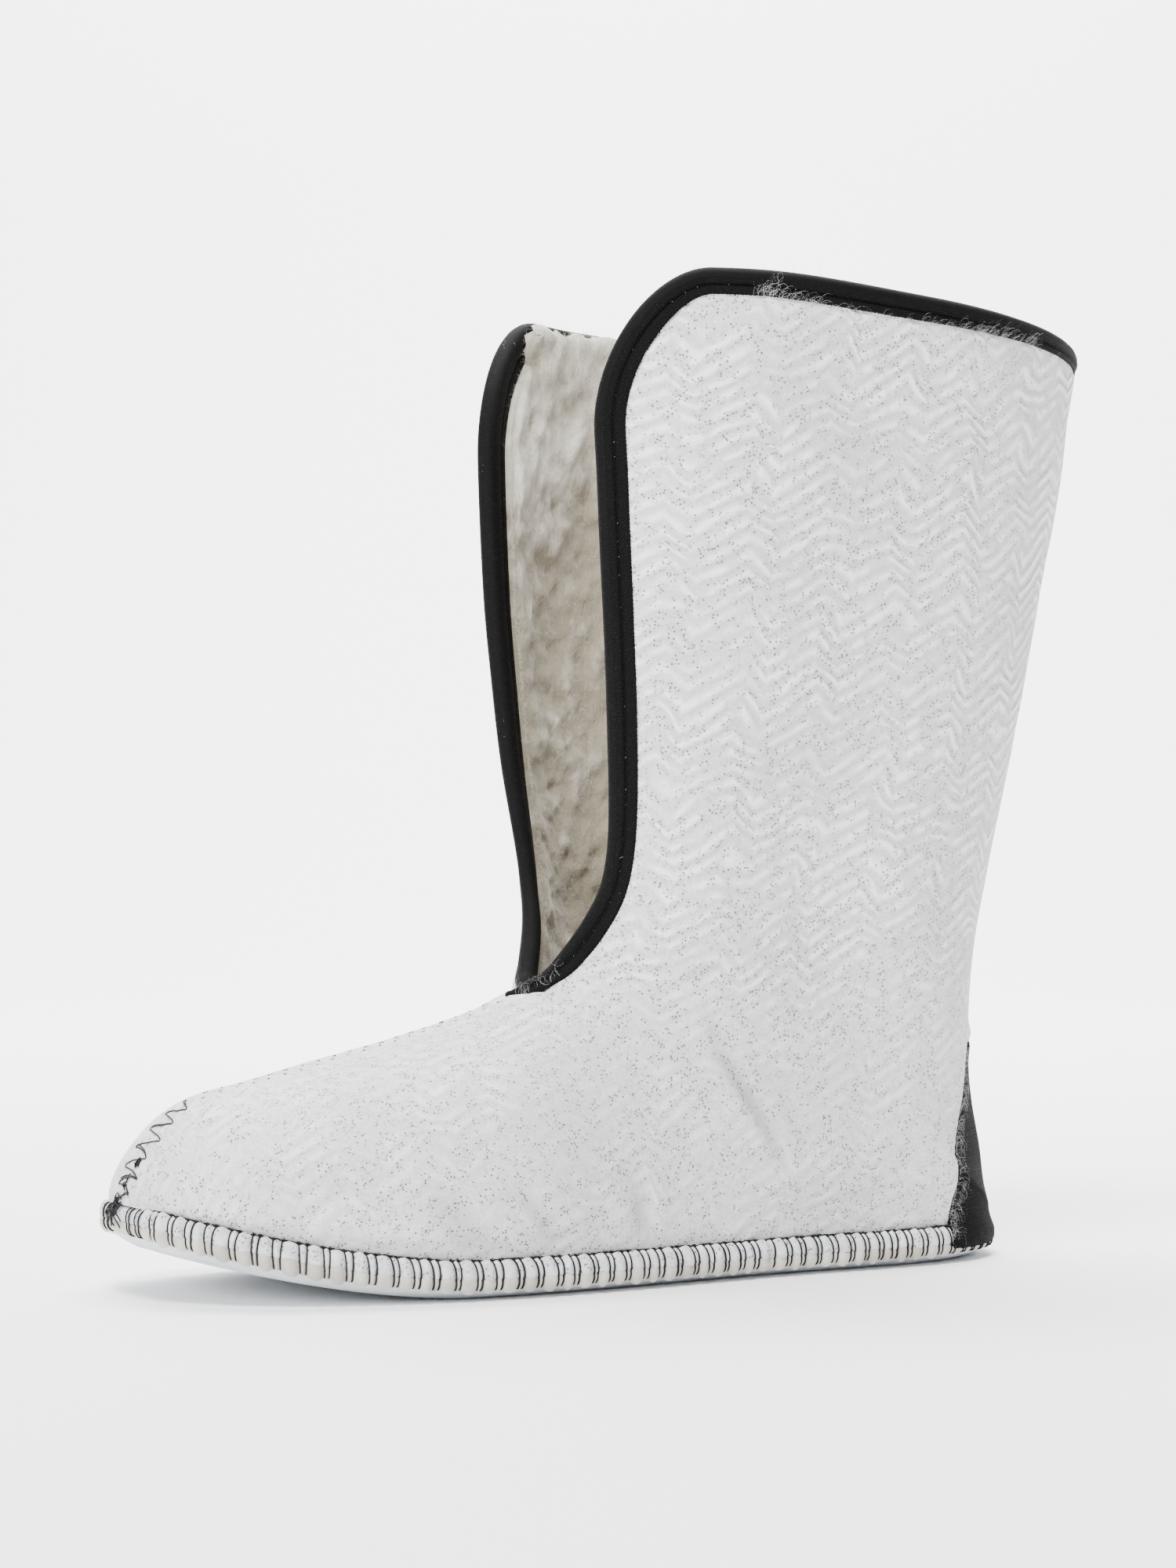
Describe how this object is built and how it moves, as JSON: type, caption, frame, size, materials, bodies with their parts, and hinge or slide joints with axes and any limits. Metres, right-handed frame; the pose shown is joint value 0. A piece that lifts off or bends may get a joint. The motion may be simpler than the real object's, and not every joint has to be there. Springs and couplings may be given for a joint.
{
  "type": "winter boot liner",
  "caption": "Felt inner boot of a winter boot: open slit down the instep, taped collar, felt sole joined by an overlocked seam, cloth patch at the heel.",
  "frame": {"origin": "under the middle of the liner's box, on the floor it stands on", "axes": "the toe points along +X, the outer side of the foot is +Y and the shaft stands along +Z"},
  "size_m": [0.311, 0.1322, 0.2892],
  "materials": {
    "felt": "white needle-punched felt, soft and matt, pricked with small holes, cream pile inside",
    "sole_felt": "off-white felt plate, bluish grey underneath, its rim bound with black thread",
    "tape": "black woven tape with a smooth rolled edge and ribbed borders",
    "patch_cloth": "black cloth with fine level ribs"
  },
  "bodies": {
    "root": {"upper": "felt", "sole": "sole_felt", "collar_binding": "tape", "heel_patch": "patch_cloth"}
  },
  "joints": []
}
